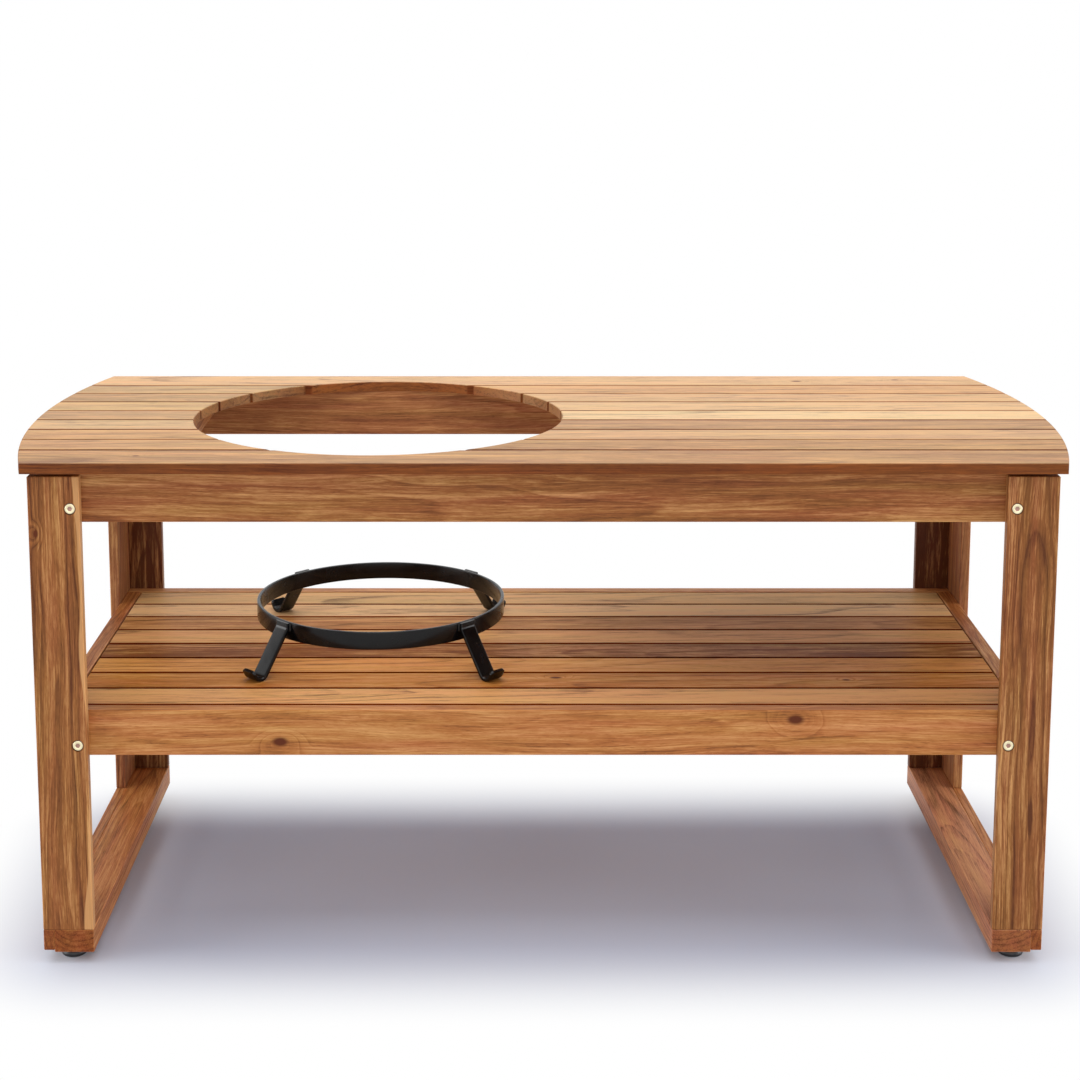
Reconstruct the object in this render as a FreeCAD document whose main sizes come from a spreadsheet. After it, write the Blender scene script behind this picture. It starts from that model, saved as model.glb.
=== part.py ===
"""Slatted patio table with a round cut-out for a kamado grill, a lower shelf and a steel cradle.

Millimetres. The origin is on the floor under the middle of the table, +X runs along its length to
the right, +Y to the back and +Z up.
"""
import FreeCAD, Part
import Sketcher
import math
import os

SIZES = [
    ("table_length", 1500, "length of the top, over the crowns of its bowed ends"),
    ("table_depth", 650, "depth of the top, front edge to back edge"),
    ("table_height", 720, "floor to the upper face of the top"),
    ("slat_thickness", 15, "thickness of the slats of the top and the shelf"),
    ("slat_width", 65, "width of the inner slats of the top"),
    ("slat_gap", 4, "gap between neighbouring slats"),
    ("inner_slats", 7, "count of slats between the front and the back slat"),
    ("end_bow", 45, "rise of the arc at each end of the top"),
    ("edge_easing", 1, "chamfer on the edges of every board"),
    ("cutout_diameter", 550, "round opening for the grill"),
    ("cutout_inset", 507, "centre of the opening from the crown of the left end"),
    ("end_overhang", 52, "crown of a bowed end beyond the outer face of the legs"),
    ("leg_setback", 12, "front of the legs behind the front edge of the top"),
    ("leg_top_gap", 6, "air between the leg tops and the slats"),
    ("leg_thickness", 15, "thickness of the leg boards"),
    ("face_board_width", 70, "width of the leg board that faces front or back"),
    ("side_board_width", 90, "width of the leg board that faces outwards"),
    ("rail_thickness", 22, "thickness of all rails"),
    ("top_rail_height", 73, "height of the rails under the top"),
    ("batten_width", 22, "width of the cross battens"),
    ("top_batten_height", 40, "height of the battens under the top"),
    ("batten_clearance", 15, "batten beside the opening, from its edge"),
    ("shelf_height", 365, "floor to the upper face of the shelf"),
    ("shelf_rail_height", 65, "height of the rails round the shelf"),
    ("shelf_slats", 8, "count of slats in the shelf"),
    ("shelf_end_gap", 2, "gap between slat ends and the shelf's end rails"),
    ("shelf_batten_height", 30, "height of the battens under the shelf"),
    ("shelf_batten_inset", 433, "middle of a shelf batten from the end rail beside it"),
    ("ledge_width", 12, "ledge on the shelf's end rails that carries the slat ends"),
    ("runner_width", 55, "width of the bar of each floor runner"),
    ("runner_height", 33, "height of the bar of each floor runner"),
    ("strip_rise", 3, "underside of the outer strip above the underside of the bar"),
    ("bolt_inset", 13, "socket bolt from the inner edge of the face board"),
    ("top_bolt_drop", 66, "upper bolts below the upper face of the top"),
    ("shelf_bolt_drop", 46, "lower bolts below the upper face of the shelf"),
    ("bolt_head_diameter", 14.5, "flat head of the socket bolts"),
    ("bolt_head_height", 2.5, "head height, equal to the recess depth"),
    ("bolt_shank_diameter", 6, "shank of the socket bolts"),
    ("bolt_length", 28, "shank length under the head"),
    ("bolt_socket_width", 5, "width across the flats of the hexagon socket"),
    ("recess_clearance", 1, "radial room round a bolt head"),
    ("nut_barrel_diameter", 9, "barrel of the sleeve nuts"),
    ("nut_barrel_length", 14, "barrel length inside the rail"),
    ("nut_flange_diameter", 15, "flange of the sleeve nuts"),
    ("nut_flange_height", 1.5, "thickness of the flange"),
    ("hidden_sides", 12, "sides of the shanks, barrels and bores inside the wood"),
    ("fit_clearance", 0.05, "radial clearance of a shaft in its bore"),
    ("foot_inset", 35, "axis of a levelling foot from the outer and front faces"),
    ("foot_height", 17, "underside of the runner above the floor"),
    ("foot_diameter", 36, "widest part of the foot's pad"),
    ("foot_sides", 24, "sides of the foot's pad"),
    ("foot_dome_bevel", 9, "slope round the top of the pad"),
    ("foot_sole_bevel", 2.5, "bevel round the underside of the pad"),
    ("stem_diameter", 8, "threaded stem of the foot"),
    ("stem_length", 26, "stem above the pad"),
    ("insert_diameter", 12, "threaded insert in the runner"),
    ("insert_length", 27, "length of the insert, which hides the whole stem"),
    ("cradle_ring_diameter", 374, "outer diameter of the cradle's ring"),
    ("cradle_ring_height", 26, "height of the ring's band"),
    ("cradle_height", 76, "top of the ring above the shelf"),
    ("strap_thickness", 5, "thickness of the ring and the strap legs"),
    ("strap_width", 27, "width of the strap legs"),
    ("strap_spread", 45, "reach of a leg's sloping part"),
    ("strap_upright", 10, "part of a leg that stands against the ring"),
    ("strap_bend", 8, "inner radius of the bends of a leg"),
    ("toe_length", 15.5, "flat part of a leg on the shelf"),
    ("toe_run", 8, "reach of the turned-up toe"),
    ("toe_rise", 16, "height of the turned-up toe"),
    ("toe_corner", 5, "radius of the corners of a toe"),
    ("weld_gap", 0.3, "joint line between ring and legs"),
]

doc = FreeCAD.newDocument("kamado_grill_table")
sheet = doc.addObject("Spreadsheet::Sheet", "sizes")
for row, (alias, value, meaning) in enumerate(SIZES, 1):
    sheet.set(f"A{row}", meaning)
    sheet.set(f"B{row}", str(value))
    sheet.setAlias(f"B{row}", alias)
doc.recompute()

# Places that several pieces share, as expressions on the sheet
HALF_LENGTH = "(sizes.table_length / 2)"
HALF_DEPTH = "(sizes.table_depth / 2)"
SLAT_BASE = "(sizes.table_height - sizes.slat_thickness)"
SLAT_PITCH = "(sizes.slat_width + sizes.slat_gap)"
CUTOUT_X = f"(sizes.cutout_inset - {HALF_LENGTH})"
CUTOUT_RADIUS = "(sizes.cutout_diameter / 2)"
LEG_FRONT = f"({HALF_DEPTH} - sizes.leg_setback)"
LEG_BACK = f"({LEG_FRONT} - sizes.leg_thickness)"
RAIL_BACK = f"({LEG_BACK} - sizes.rail_thickness)"
LEG_OUTER = f"({HALF_LENGTH} - sizes.end_overhang)"
LEG_TOP = f"({SLAT_BASE} - sizes.leg_top_gap)"
SIDE_INNER = f"({LEG_OUTER} - sizes.leg_thickness)"
FACE_INNER = f"({LEG_OUTER} - sizes.face_board_width)"
END_RAIL_INNER = f"({SIDE_INNER} - sizes.rail_thickness)"
TOP_RAIL_BASE = f"({SLAT_BASE} - sizes.top_rail_height)"
SHELF_BASE = "(sizes.shelf_height - sizes.slat_thickness)"
SHELF_RAIL_BASE = "(sizes.shelf_height - sizes.shelf_rail_height)"
SHELF_PITCH = f"((2 * {RAIL_BACK} - sizes.slat_gap) / sizes.shelf_slats)"
RUNNER_TOP = "(sizes.foot_height + sizes.runner_height)"
BOLT_X = f"({FACE_INNER} + sizes.bolt_inset)"
BOLT_HEIGHTS = ("(sizes.table_height - sizes.top_bolt_drop)", "(sizes.shelf_height - sizes.shelf_bolt_drop)")
FOOT_X = f"({LEG_OUTER} - sizes.foot_inset)"
FOOT_Y = f"({LEG_FRONT} - sizes.foot_inset)"

# Middles of the battens under the top: left of the opening, right of it, and halfway to the end
LEFT_BATTEN_X = f"({CUTOUT_X} - {CUTOUT_RADIUS} - sizes.batten_clearance - sizes.batten_width / 2)"
MIDDLE_BATTEN_X = f"({CUTOUT_X} + {CUTOUT_RADIUS} + sizes.batten_clearance + sizes.batten_width / 2)"
RIGHT_BATTEN_X = f"(({MIDDLE_BATTEN_X} + {END_RAIL_INNER}) / 2)"

SIDES = (("left", -1), ("right", 1))
ENDS = (("front", -1), ("back", 1))
TOLERANCE = 0.001

pieces = []


def size(alias):
    """The value of one cell of the sheet."""
    return float(sheet.get(alias))


def value(expression):
    """The number that an expression on the sheet stands for."""
    return float(sheet.evalExpression(expression.replace("sizes.", "")))


def finish(label, shape_object):
    """Name a finished piece after its node and keep it for export."""
    shape_object.Label = label
    pieces.append(shape_object)
    return shape_object


def span(sign, inner, outer):
    """Low and high expression of a stretch that lies between two distances on one side of zero."""
    if sign > 0:
        return inner, outer
    return f"-({outer})", f"-({inner})"


def move_to(shape_object, place):
    """Bind an object's position to three expressions."""
    for axis, expression in zip("xyz", place):
        shape_object.setExpression(f"Placement.Base.{axis}", expression)


def block(name, x_span, y_span, z_span):
    """A square-edged block between low and high expressions."""
    box = doc.addObject("Part::Box", name)
    for side, (low, high) in zip(("Length", "Width", "Height"), (x_span, y_span, z_span)):
        box.setExpression(side, f"({high}) - ({low})")
    move_to(box, (x_span[0], y_span[0], z_span[0]))
    return box


def rod(name, radius, height, place, direction=FreeCAD.Vector(0, 0, 1)):
    """A cylinder that starts at a place and runs along a direction."""
    cylinder = doc.addObject("Part::Cylinder", name)
    cylinder.Placement.Rotation = FreeCAD.Rotation(FreeCAD.Vector(0, 0, 1), direction)
    cylinder.setExpression("Radius", radius)
    cylinder.setExpression("Height", height)
    move_to(cylinder, place)
    return cylinder


def prism(name, sides, radius, height, place, direction=FreeCAD.Vector(0, 0, 1)):
    """A many-sided post that starts at a place and runs along a direction."""
    post = doc.addObject("Part::Prism", name)
    post.Placement.Rotation = FreeCAD.Rotation(FreeCAD.Vector(0, 0, 1), direction)
    post.setExpression("Polygon", sides)
    post.setExpression("Circumradius", radius)
    post.setExpression("Height", height)
    move_to(post, place)
    return post


def hidden(name, radius, height, place, direction=FreeCAD.Vector(0, 0, 1)):
    """A shank, barrel or bore inside the wood, with few sides to keep it light."""
    return prism(name, "sizes.hidden_sides", radius, height, place, direction)


def joined(name, parts):
    """Several shapes as one solid."""
    fusion = doc.addObject("Part::MultiFuse", name)
    fusion.Shapes = parts
    return fusion


def cut(name, base, tools):
    """A solid with holes or recesses taken out of it."""
    tool = tools[0]
    if len(tools) > 1:
        tool = doc.addObject("Part::Compound", f"{name}_tools")
        tool.Links = tools
    result = doc.addObject("Part::Cut", name)
    result.Base = base
    result.Tool = tool
    return result


def eased(name, base, chosen):
    """A board with the chosen edges chamfered."""
    doc.recompute()
    chamfer = doc.addObject("Part::Chamfer", name)
    chamfer.Base = base
    easing = size("edge_easing")
    chamfer.Edges = [(i, easing, easing) for i, edge in enumerate(base.Shape.Edges, 1) if chosen(edge)]
    return chamfer


def bevelled(name, base, height, bevel):
    """A post with the rim at one height bevelled."""
    doc.recompute()
    chamfer = doc.addObject("Part::Chamfer", name)
    chamfer.Base = base
    at_rim = level_edges(height)
    chamfer.Edges = [(i, bevel, bevel) for i, edge in enumerate(base.Shape.Edges, 1) if at_rim(edge)]
    return chamfer


def any_edge(edge):
    """Choose every edge of a plain block."""
    return edge.Length > 0


def level_edges(height):
    """A test for the edges that lie wholly at one height."""
    return lambda edge: abs(edge.BoundBox.ZMin - height) < TOLERANCE and edge.BoundBox.ZLength < TOLERANCE


def board(label, x_span, y_span, z_span):
    """A straight board with all its edges eased."""
    return finish(label, eased(f"{label}_board", block(f"{label}_block", x_span, y_span, z_span), any_edge))


def plane(body, role):
    """One of a body's own origin planes."""
    return next(item for item in body.Origin.OriginFeatures if item.Role == role)


def new_sketch(body, name, role):
    """An empty sketch on one of a body's origin planes."""
    sketch = body.newObject("Sketcher::SketchObject", name)
    sketch.AttachmentSupport = (plane(body, role), [""])
    sketch.MapMode = "FlatFace"
    return sketch


def profile(body, name, corners):
    """A closed half profile on the XZ plane, each corner bound to two expressions from the axis."""
    sketch = new_sketch(body, name, "XZ_Plane")
    points = [FreeCAD.Vector(value(x), value(z), 0) for x, z in corners]
    count = len(points)
    for i, point in enumerate(points):
        sketch.addGeometry(Part.LineSegment(point, points[(i + 1) % count]), False)
    for i, (x, z) in enumerate(corners):
        sketch.addConstraint(Sketcher.Constraint("Coincident", i, 2, (i + 1) % count, 1))
        hold(sketch, i, "DistanceX", f"across_{i}", x)
        hold(sketch, i, "DistanceY", f"along_{i}", z)
    return sketch


def hold(sketch, line, kind, name, expression):
    """Hold the start of a line at a distance from the sketch's origin."""
    index = sketch.addConstraint(Sketcher.Constraint(kind, -1, 1, line, 1, value(expression)))
    sketch.renameConstraint(index, name)
    sketch.setExpression(f"Constraints.{name}", expression)


def turned(name, corners):
    """A body turned about its Z axis from a half profile."""
    body = doc.addObject("PartDesign::Body", name)
    sketch = profile(body, f"{name}_profile", corners)
    turning = body.newObject("PartDesign::Revolution", f"{name}_turning")
    turning.Profile = sketch
    turning.ReferenceAxis = (sketch, ["V_Axis"])
    turning.Angle = 360
    doc.recompute()
    return body


def group(label, prototype, placements):
    """Identical pieces as one node: a copy of the prototype's solid at each placement."""
    doc.recompute()
    copies = []
    for placement in placements:
        copy = prototype.Shape.copy()
        copy.Placement = placement.multiply(copy.Placement)
        copies.append(copy)
    feature = doc.addObject("Part::Feature", f"{label}_group")
    feature.Shape = Part.makeCompound(copies)
    return finish(label, feature)


def bow(name, sign):
    """The disc whose rim is the arc at one end of the top."""
    radius = f"(({HALF_DEPTH} ^ 2 + sizes.end_bow ^ 2) / (2 * sizes.end_bow))"
    middle = f"{sign} * ({HALF_LENGTH} - {radius})"
    return rod(name, radius, "sizes.slat_thickness", (middle, "0", SLAT_BASE))


def row_span(row):
    """Low and high Y of one inner slat, counted from the middle row."""
    middle = f"({row} * {SLAT_PITCH})"
    return f"{middle} - sizes.slat_width / 2", f"{middle} + sizes.slat_width / 2"


def top_slats():
    """The boards of the top: bowed at both ends and cut away round the opening."""
    upper = (SLAT_BASE, "sizes.table_height")
    bows = {"left": bow("left_bow", -1), "right": bow("right_bow", 1)}
    cutout = rod("cutout", CUTOUT_RADIUS, "sizes.slat_thickness", (CUTOUT_X, "0", SLAT_BASE))
    edge_inner = f"(sizes.inner_slats / 2 * {SLAT_PITCH} + sizes.slat_gap / 2)"

    def slat(label, x_span, y_span, bow_discs):
        blank = doc.addObject("Part::MultiCommon", f"{label}_outline")
        blank.Shapes = [block(f"{label}_block", x_span, y_span, upper)] + bow_discs
        opened = cut(f"{label}_opened", blank, [cutout])
        finish(label, eased(f"{label}_eased", opened, level_edges(size("table_height"))))

    for end, sign in ENDS:
        full_length = (f"-{HALF_LENGTH}", HALF_LENGTH)
        slat(f"top_{end}_slat", full_length, span(sign, edge_inner, HALF_DEPTH), list(bows.values()))
    rows = int(size("inner_slats"))
    halves = {"left": (f"-{HALF_LENGTH}", CUTOUT_X), "right": (CUTOUT_X, HALF_LENGTH)}
    for side, x_span in halves.items():
        for number in range(1, rows + 1):
            row = number - (rows + 1) / 2
            slat(f"top_{side}_slat_{number}", x_span, row_span(row), [bows[side]])


def top_battens():
    """Battens across the underside of the top that carry the inner slats."""
    height = (f"{SLAT_BASE} - sizes.top_batten_height", SLAT_BASE)
    half_width = "sizes.batten_width / 2"
    for name, middle in (("left", LEFT_BATTEN_X), ("middle", MIDDLE_BATTEN_X), ("right", RIGHT_BATTEN_X)):
        across = (f"{middle} - {half_width}", f"{middle} + {half_width}")
        board(f"top_{name}_batten", across, (f"-{RAIL_BACK}", RAIL_BACK), height)


def bolt_hole(make, name, side, end, height, radius, depth_span):
    """A hole along Y at one leg joint, between two distances from the middle of the table."""
    low, high = span(end, *depth_span)
    start = (f"{side} * {BOLT_X}", low, height)
    return make(name, radius, f"({high}) - ({low})", start, FreeCAD.Vector(0, 1, 0))


def rails():
    """Front and back rails of the top and the shelf, drilled for the sleeve nuts."""
    levels = (("top", TOP_RAIL_BASE, SLAT_BASE, BOLT_HEIGHTS[0]),
              ("shelf", SHELF_RAIL_BASE, "sizes.shelf_height", BOLT_HEIGHTS[1]))
    barrel = "sizes.nut_barrel_diameter / 2 + sizes.fit_clearance"
    through = (RAIL_BACK, LEG_BACK)
    for level, low, high, bolt_height in levels:
        for end, sign in ENDS:
            label = f"{level}_{end}_rail"
            blank = block(f"{label}_block", (f"-{SIDE_INNER}", SIDE_INNER), span(sign, *through), (low, high))
            soft = eased(f"{label}_eased", blank, any_edge)
            holes = []
            for side, x in SIDES:
                holes.append(bolt_hole(hidden, f"{label}_{side}_hole", x, sign, bolt_height, barrel, through))
            finish(label, cut(f"{label}_drilled", soft, holes))


def end_rails():
    """Rails across both ends: plain under the top, with a ledge for the slat ends round the shelf."""
    between = (f"-{RAIL_BACK}", RAIL_BACK)
    for side, sign in SIDES:
        across = span(sign, END_RAIL_INNER, SIDE_INNER)
        board(f"top_{side}_end_rail", across, between, (TOP_RAIL_BASE, SLAT_BASE))
        label = f"shelf_{side}_end_rail"
        full = block(f"{label}_block", across, between, (SHELF_RAIL_BASE, "sizes.shelf_height"))
        ledge_span = span(sign, f"{END_RAIL_INNER} - sizes.ledge_width", END_RAIL_INNER)
        ledge = block(f"{label}_ledge", ledge_span, between, (SHELF_RAIL_BASE, SHELF_BASE))
        rebated = doc.addObject("Part::Fuse", f"{label}_rebated")
        rebated.Base = full
        rebated.Tool = ledge
        rebated.Refine = True
        finish(label, eased(f"{label}_eased", rebated, level_edges(size("shelf_height"))))


def legs():
    """Four legs, each a face board with its bolt holes and a side board behind it."""
    shank = "sizes.bolt_shank_diameter / 2 + sizes.recess_clearance / 2"
    head = "sizes.bolt_head_diameter / 2 + sizes.recess_clearance"
    recess = (f"{LEG_FRONT} - sizes.bolt_head_height", LEG_FRONT)
    through = (LEG_BACK, LEG_FRONT)
    upright = (RUNNER_TOP, LEG_TOP)
    for end, sign in ENDS:
        for side, x in SIDES:
            label = f"{end}_{side}_leg"
            blank = block(f"{label}_block", span(x, FACE_INNER, LEG_OUTER), span(sign, *through), upright)
            soft = eased(f"{label}_eased", blank, any_edge)
            holes = []
            for height in BOLT_HEIGHTS:
                holes.append(bolt_hole(hidden, f"{label}_hole", x, sign, height, shank, through))
                holes.append(bolt_hole(rod, f"{label}_recess", x, sign, height, head, recess))
            finish(f"{label}_face_board", cut(f"{label}_drilled", soft, holes))
            depth = span(sign, f"{LEG_BACK} - sizes.side_board_width", LEG_BACK)
            board(f"{label}_side_board", span(x, SIDE_INNER, LEG_OUTER), depth, upright)


def runners():
    """Floor runners: a bar with blind holes for the inserts, and a strip along its outer side."""
    full_depth = (f"-{LEG_FRONT}", LEG_FRONT)
    insert = "sizes.insert_diameter / 2 + sizes.fit_clearance"
    depth = "sizes.insert_length + sizes.fit_clearance"
    for side, x in SIDES:
        label = f"{side}_runner"
        across = span(x, f"{SIDE_INNER} - sizes.runner_width", SIDE_INNER)
        blank = block(f"{label}_block", across, full_depth, ("sizes.foot_height", RUNNER_TOP))
        soft = eased(f"{label}_eased", blank, any_edge)
        holes = []
        for end, sign in ENDS:
            start = (f"{x} * {FOOT_X}", f"{sign} * {FOOT_Y}", "sizes.foot_height")
            holes.append(hidden(f"{label}_{end}_hole", insert, depth, start))
        finish(label, cut(f"{label}_drilled", soft, holes))
        strip_base = "sizes.foot_height + sizes.strip_rise"
        board(f"{label}_strip", span(x, SIDE_INNER, LEG_OUTER), full_depth, (strip_base, RUNNER_TOP))


def shelf():
    """Slats of the shelf and the two battens that they lie on."""
    reach = f"({END_RAIL_INNER} - sizes.shelf_end_gap)"
    for number in range(1, int(size("shelf_slats")) + 1):
        low = f"{number - 1} * {SHELF_PITCH} + sizes.slat_gap - {RAIL_BACK}"
        high = f"{number} * {SHELF_PITCH} - {RAIL_BACK}"
        board(f"shelf_slat_{number}", (f"-{reach}", reach), (low, high), (SHELF_BASE, "sizes.shelf_height"))
    middle = f"{END_RAIL_INNER} - sizes.shelf_batten_inset"
    for side, x in SIDES:
        inner = f"{middle} - sizes.batten_width / 2"
        outer = f"{middle} + sizes.batten_width / 2"
        height = (f"{SHELF_BASE} - sizes.shelf_batten_height", SHELF_BASE)
        board(f"shelf_{side}_batten", span(x, inner, outer), (f"-{RAIL_BACK}", RAIL_BACK), height)


def joint_placements(depth):
    """Where the eight leg joints are: the Z axis of each points out of the table."""
    placements = []
    for end, sign in ENDS:
        turn = FreeCAD.Rotation(FreeCAD.Vector(0, 0, 1), FreeCAD.Vector(0, sign, 0))
        for side, x in SIDES:
            for height in BOLT_HEIGHTS:
                point = FreeCAD.Vector(x * value(BOLT_X), sign * value(depth), value(height))
                placements.append(FreeCAD.Placement(point, turn))
    return placements


def joint_bolts():
    """Flat-head bolts with a hexagon socket, their heads flush in the face boards."""
    head = "sizes.bolt_head_diameter / 2"
    rim = "sizes.bolt_head_height / 5"
    seat = "-sizes.bolt_head_height"
    corners = [("0", seat), (head, seat), (head, f"-{rim}"), (f"{head} - {rim}", "0"), ("0", "0")]
    tip = ("0", "0", "-sizes.bolt_head_height - sizes.bolt_length")
    shank = hidden("bolt_shank", "sizes.bolt_shank_diameter / 2", "sizes.bolt_length", tip)
    bolt = joined("bolt", [turned("bolt_head", corners), shank])
    corner_radius = "sizes.bolt_socket_width / 2 / cos(30)"
    floor = ("0", "0", "-sizes.bolt_head_height * 0.8")
    socket = prism("bolt_socket", "6", corner_radius, "sizes.bolt_head_height", floor)
    group("joint_bolts", cut("socket_bolt", bolt, [socket]), joint_placements(LEG_FRONT))


def sleeve_nuts():
    """Sleeve nuts pushed into the rails from inside, each with a blind bore for its bolt."""
    below = ("0", "0", "-sizes.nut_flange_height")
    flange = rod("nut_flange", "sizes.nut_flange_diameter / 2", "sizes.nut_flange_height", below)
    barrel = hidden("nut_barrel", "sizes.nut_barrel_diameter / 2", "sizes.nut_barrel_length", ("0", "0", "0"))
    bore_radius = "sizes.bolt_shank_diameter / 2 + sizes.fit_clearance"
    floor = ("0", "0", "sizes.nut_flange_height / 2")
    bore = hidden("nut_bore", bore_radius, "sizes.nut_barrel_length", floor)
    nut = cut("nut", joined("nut_body", [flange, barrel]), [bore])
    group("sleeve_nuts", nut, joint_placements(RAIL_BACK))


def foot_inserts():
    """Threaded inserts for the feet, flush with the underside of the runners."""
    start = ("0", "0", "0")
    sleeve = hidden("insert_sleeve", "sizes.insert_diameter / 2", "sizes.insert_length", start)
    bore_radius = "sizes.stem_diameter / 2 + sizes.fit_clearance"
    bore = hidden("insert_bore", bore_radius, "sizes.insert_length", start)
    placements = []
    for _, sign in ENDS:
        for _, x in SIDES:
            point = FreeCAD.Vector(x * value(FOOT_X), sign * value(FOOT_Y), size("foot_height"))
            placements.append(FreeCAD.Placement(point, FreeCAD.Rotation()))
    group("foot_inserts", cut("insert", sleeve, [bore]), placements)


def levelling_feet():
    """Moulded feet: a domed pad under the runner and a threaded stem in one piece with it."""
    top = size("foot_height")
    for end, sign in ENDS:
        for side, x in SIDES:
            label = f"{end}_{side}_levelling_foot"
            floor_point = (f"{x} * {FOOT_X}", f"{sign} * {FOOT_Y}", "0")
            pad_top = floor_point[:2] + ("sizes.foot_height",)
            radius = "sizes.foot_diameter / 2"
            blank = prism(f"{label}_pad", "sizes.foot_sides", radius, "sizes.foot_height", floor_point)
            sole = bevelled(f"{label}_sole", blank, 0, size("foot_sole_bevel"))
            dome = bevelled(f"{label}_dome", sole, top, size("foot_dome_bevel"))
            stem = hidden(f"{label}_stem", "sizes.stem_diameter / 2", "sizes.stem_length", pad_top)
            finish(label, joined(f"{label}_body", [dome, stem]))


def cradle_ring():
    """The ring that the grill's base sits in: a rolled flat bar."""
    outer = "sizes.cradle_ring_diameter / 2"
    inner = f"{outer} - sizes.strap_thickness"
    low = "sizes.cradle_height - sizes.cradle_ring_height"
    high = "sizes.cradle_height"
    ring = turned("cradle_ring_body", [(inner, low), (outer, low), (outer, high), (inner, high)])
    move_to(ring, (CUTOUT_X, "0", "sizes.shelf_height"))
    finish("cradle_ring", ring)


def bent_line(corners, radii):
    """Edges of straight runs joined by tangent arcs, with one radius for each inner corner."""
    edges = []
    start = corners[0]
    for before, corner, after, radius in zip(corners, corners[1:], corners[2:], radii):
        arriving = (before - corner).normalize()
        leaving = (after - corner).normalize()
        half_angle = arriving.getAngle(leaving) / 2
        reach = radius / math.tan(half_angle)
        crown = radius / math.sin(half_angle) - radius
        crown_point = corner + (arriving + leaving).normalize() * crown
        edges.append(Part.LineSegment(start, corner + arriving * reach).toShape())
        edges.append(Part.Arc(corner + arriving * reach, crown_point, corner + leaving * reach).toShape())
        start = corner + leaving * reach
    edges.append(Part.LineSegment(start, corners[-1]).toShape())
    return edges


def offset_corners(corners, distance):
    """The same bent line moved sideways, to the left of its direction in the XZ plane."""
    runs = [(after - before).normalize() for before, after in zip(corners, corners[1:])]
    normals = [FreeCAD.Vector(-run.z, 0, run.x) for run in runs]
    moved = [corners[0] + normals[0] * distance]
    for corner, first, second in zip(corners[1:], normals, normals[1:]):
        moved.append(corner + (first + second) * (distance / (1 + first.dot(second))))
    moved.append(corners[-1] + normals[-1] * distance)
    return moved


def strap_leg():
    """One leg of the cradle: it stands against the ring, slopes out to the shelf and turns up at the toe."""
    thickness = size("strap_thickness")
    width = size("strap_width")
    bend = size("strap_bend")
    ring_side = size("cradle_ring_diameter") / 2 + size("weld_gap")
    heel = ring_side + size("strap_spread")
    toe = heel + size("toe_length")
    top = size("cradle_height")
    points = [(ring_side, top), (ring_side, top - size("strap_upright")), (heel, 0), (toe, 0),
              (toe + size("toe_run"), size("toe_rise"))]
    under = [FreeCAD.Vector(x, -width / 2, z) for x, z in points]
    over = offset_corners(under, thickness)
    bends = len(under) - 2
    lower_side = bent_line(under, [bend + thickness] * bends)
    upper_side = bent_line(over, [bend] * bends)
    ends = [Part.LineSegment(under[0], over[0]).toShape(), Part.LineSegment(under[-1], over[-1]).toShape()]
    outline = Part.Wire(Part.__sortEdges__(lower_side + upper_side + ends))
    leg = Part.Face(outline).extrude(FreeCAD.Vector(0, width, 0))
    tip = [edge for edge in leg.Edges if edge.BoundBox.XMax > toe + size("toe_run") - TOLERANCE
           and edge.BoundBox.YLength < TOLERANCE and edge.Length < thickness + TOLERANCE]
    return leg.makeFillet(size("toe_corner"), tip)


def cradle_legs():
    """Four strap legs on the diagonals, welded to the ring."""
    leg = strap_leg()
    middle = FreeCAD.Vector(value(CUTOUT_X), 0, size("shelf_height"))
    legs_at = []
    for quarter in range(4):
        turn = FreeCAD.Rotation(FreeCAD.Vector(0, 0, 1), 45 + 90 * quarter)
        copy = leg.copy()
        copy.Placement = FreeCAD.Placement(middle, turn)
        legs_at.append(copy)
    feature = doc.addObject("Part::Feature", "cradle_legs_group")
    feature.Shape = Part.makeCompound(legs_at)
    finish("cradle_legs", feature)


def check_and_export():
    """Stop on any failed object, then write every piece to its own file."""
    doc.recompute()
    for item in doc.Objects:
        if "Invalid" in item.State or "Error" in item.State:
            raise RuntimeError(f"{item.Label} did not compute: {item.State}")
    os.makedirs("parts", exist_ok=True)
    for piece in pieces:
        if piece.Shape.isNull() or not piece.Shape.isValid() or not piece.Shape.Solids:
            raise RuntimeError(f"{piece.Label} has no valid solid")
        piece.Shape.exportStep(f"parts/{piece.Label}.step")


top_slats()
top_battens()
rails()
end_rails()
legs()
runners()
shelf()
joint_bolts()
sleeve_nuts()
foot_inserts()
levelling_feet()
cradle_ring()
cradle_legs()
check_and_export()
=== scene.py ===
"""Looks of a kamado grill table: oiled acacia slats with a round opening, and a steel cradle on the shelf.

Lengths in the frame are metres. Patterns and small shapes are worked out in millimetres.
"""

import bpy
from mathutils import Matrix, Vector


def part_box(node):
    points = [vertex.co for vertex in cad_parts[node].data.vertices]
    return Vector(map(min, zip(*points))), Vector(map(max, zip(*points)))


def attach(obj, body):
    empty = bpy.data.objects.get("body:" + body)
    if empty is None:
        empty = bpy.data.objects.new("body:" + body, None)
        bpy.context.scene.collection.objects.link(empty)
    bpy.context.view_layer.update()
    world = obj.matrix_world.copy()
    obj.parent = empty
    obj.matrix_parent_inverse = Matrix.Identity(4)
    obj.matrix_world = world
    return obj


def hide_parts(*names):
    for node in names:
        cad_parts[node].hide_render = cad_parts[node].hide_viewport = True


bl_info = {
    "name": "Kamado grill table",
    "version": (1, 0, 0),
    "blender": (4, 5, 0),
    "location": "View3D > Sidebar > Grill table",
    "description": "Dresses the grill table's frame in oiled acacia, zinc fittings and enamelled steel",
    "category": "Object",
}

import math
from dataclasses import dataclass
from functools import partial

import bpy
import numpy as np
from bpy.props import FloatProperty, FloatVectorProperty, PointerProperty

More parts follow.
